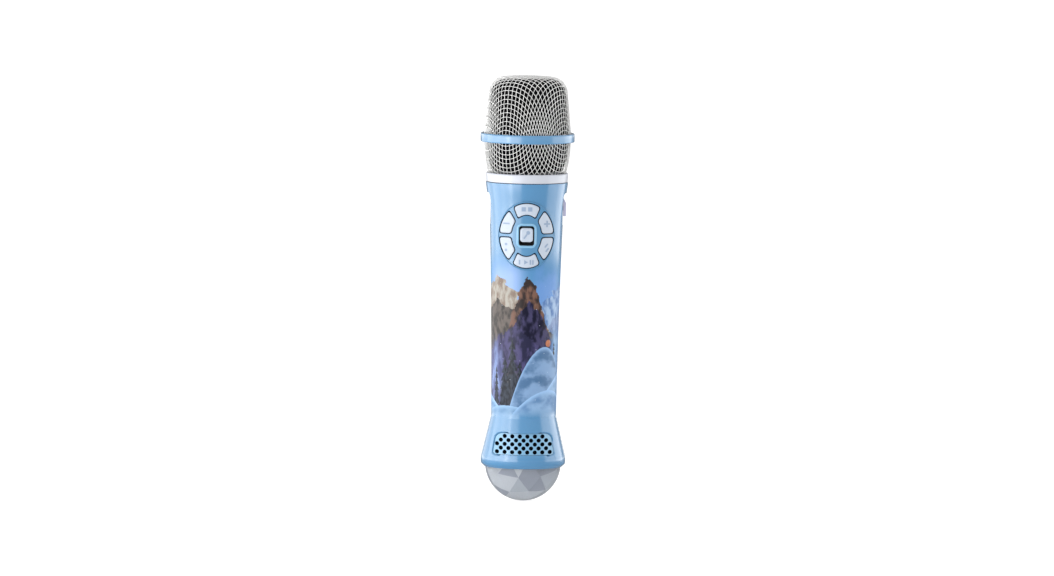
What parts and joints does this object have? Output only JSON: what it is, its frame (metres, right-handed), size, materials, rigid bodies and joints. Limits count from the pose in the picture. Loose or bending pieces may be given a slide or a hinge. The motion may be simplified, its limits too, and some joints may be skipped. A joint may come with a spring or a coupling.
{
  "type": "toy microphone",
  "caption": "Wireless toy microphone with a wire-mesh head, ring of press keys round a slide switch, side power slide, speaker grille in a flared base and faceted light dome.",
  "frame": {"origin": "lowest point of the light dome, on the handle's axis", "axes": "+Z along the handle towards the head, -Y towards the keys, +X towards the power slide"},
  "size_m": [0.0606, 0.0606, 0.2739],
  "materials": {
    "wire_mesh": "bright woven wire",
    "bare_steel": "plain sheet",
    "screw_steel": "zinc plated",
    "ring_blue": "gloss moulded",
    "case_blue": "gloss moulded, printed decoration",
    "grille_blue": "satin moulded",
    "white_plastic": "gloss moulded",
    "key_white": "pearl moulded",
    "knob_lilac": "satin moulded",
    "black_plastic": "fine texture",
    "dark_foam": "open-cell foam",
    "soft_rubber": "matte",
    "board_green": "solder mask",
    "board_white": "solder mask",
    "cell_wrap": "shrink sleeve",
    "cone_paper": "pressed paper",
    "lead_red": "soft insulation",
    "lead_black": "soft insulation",
    "lamp_clear": "clear epoxy",
    "dome_clear": "clear faceted moulding"
  },
  "bodies": {
    "root": {"upper_basket": "wire_mesh", "lower_basket": "wire_mesh", "head_ring": "ring_blue", "foam_windscreen": "dark_foam", "head_base": "black_plastic", "capsule_mount": "soft_rubber", "mic_capsule": "bare_steel", "collar_ring": "white_plastic", "front_shell": "case_blue", "rear_shell": "case_blue", "speaker_grille": "grille_blue", "case_screw_low_left": "screw_steel", "case_screw_low_right": "screw_steel", "case_screw_high_left": "screw_steel", "case_screw_high_right": "screw_steel", "key_switch_top": "black_plastic", "key_switch_upper_right": "black_plastic", "key_switch_lower_right": "black_plastic", "key_switch_bottom": "black_plastic", "key_switch_lower_left": "black_plastic", "key_switch_upper_left": "black_plastic", "voice_tray": "black_plastic", "voice_switch": "bare_steel", "power_switch": "bare_steel", "power_board": "board_green", "charge_socket": "bare_steel", "charge_board": "board_green", "main_board": "board_green", "audio_chip": "black_plastic", "board_screw_left": "screw_steel", "board_screw_right": "screw_steel", "battery_cell": "cell_wrap", "battery_cradle": "black_plastic", "speaker_frame": "black_plastic", "speaker_cone": "cone_paper", "speaker_magnet": "bare_steel", "light_board": "board_white", "lamp_red": "lamp_clear", "lamp_green": "lamp_clear", "lamp_blue": "lamp_clear", "light_dome": "dome_clear", "capsule_lead": "lead_black", "battery_lead": "lead_red", "speaker_lead": "lead_red", "light_lead": "lead_black"},
    "key_top": {"key_top": "key_white", "plunger_top": "black_plastic"},
    "key_upper_right": {"key_upper_right": "key_white", "plunger_upper_right": "black_plastic"},
    "key_lower_right": {"key_lower_right": "key_white", "plunger_lower_right": "black_plastic"},
    "key_bottom": {"key_bottom": "key_white", "plunger_bottom": "black_plastic"},
    "key_lower_left": {"key_lower_left": "key_white", "plunger_lower_left": "black_plastic"},
    "key_upper_left": {"key_upper_left": "key_white", "plunger_upper_left": "black_plastic"},
    "voice_knob": {"voice_knob": "key_white"},
    "power_knob": {"power_knob": "knob_lilac"}
  },
  "joints": [
    {"name": "key_top_press", "type": "slide", "parent": "root", "child": "key_top", "axis": [0, 1, 0], "range_m": [0, 0.0008], "stiffness_N_per_m": 1000, "springref_m": -0.0004},
    {"name": "key_upper_right_press", "type": "slide", "parent": "root", "child": "key_upper_right", "axis": [0, 1, 0], "range_m": [0, 0.0008], "stiffness_N_per_m": 1000, "springref_m": -0.0004},
    {"name": "key_lower_right_press", "type": "slide", "parent": "root", "child": "key_lower_right", "axis": [0, 1, 0], "range_m": [0, 0.0008], "stiffness_N_per_m": 1000, "springref_m": -0.0004},
    {"name": "key_bottom_press", "type": "slide", "parent": "root", "child": "key_bottom", "axis": [0, 1, 0], "range_m": [0, 0.0008], "stiffness_N_per_m": 1000, "springref_m": -0.0004},
    {"name": "key_lower_left_press", "type": "slide", "parent": "root", "child": "key_lower_left", "axis": [0, 1, 0], "range_m": [0, 0.0008], "stiffness_N_per_m": 1000, "springref_m": -0.0004},
    {"name": "key_upper_left_press", "type": "slide", "parent": "root", "child": "key_upper_left", "axis": [0, 1, 0], "range_m": [0, 0.0008], "stiffness_N_per_m": 1000, "springref_m": -0.0004},
    {"name": "voice_slide", "type": "slide", "parent": "root", "child": "voice_knob", "axis": [0, 0, 1], "range_m": [-0.0015, 0]},
    {"name": "power_slide", "type": "slide", "parent": "root", "child": "power_knob", "axis": [0, 0, 1], "range_m": [0, 0.002]}
  ]
}
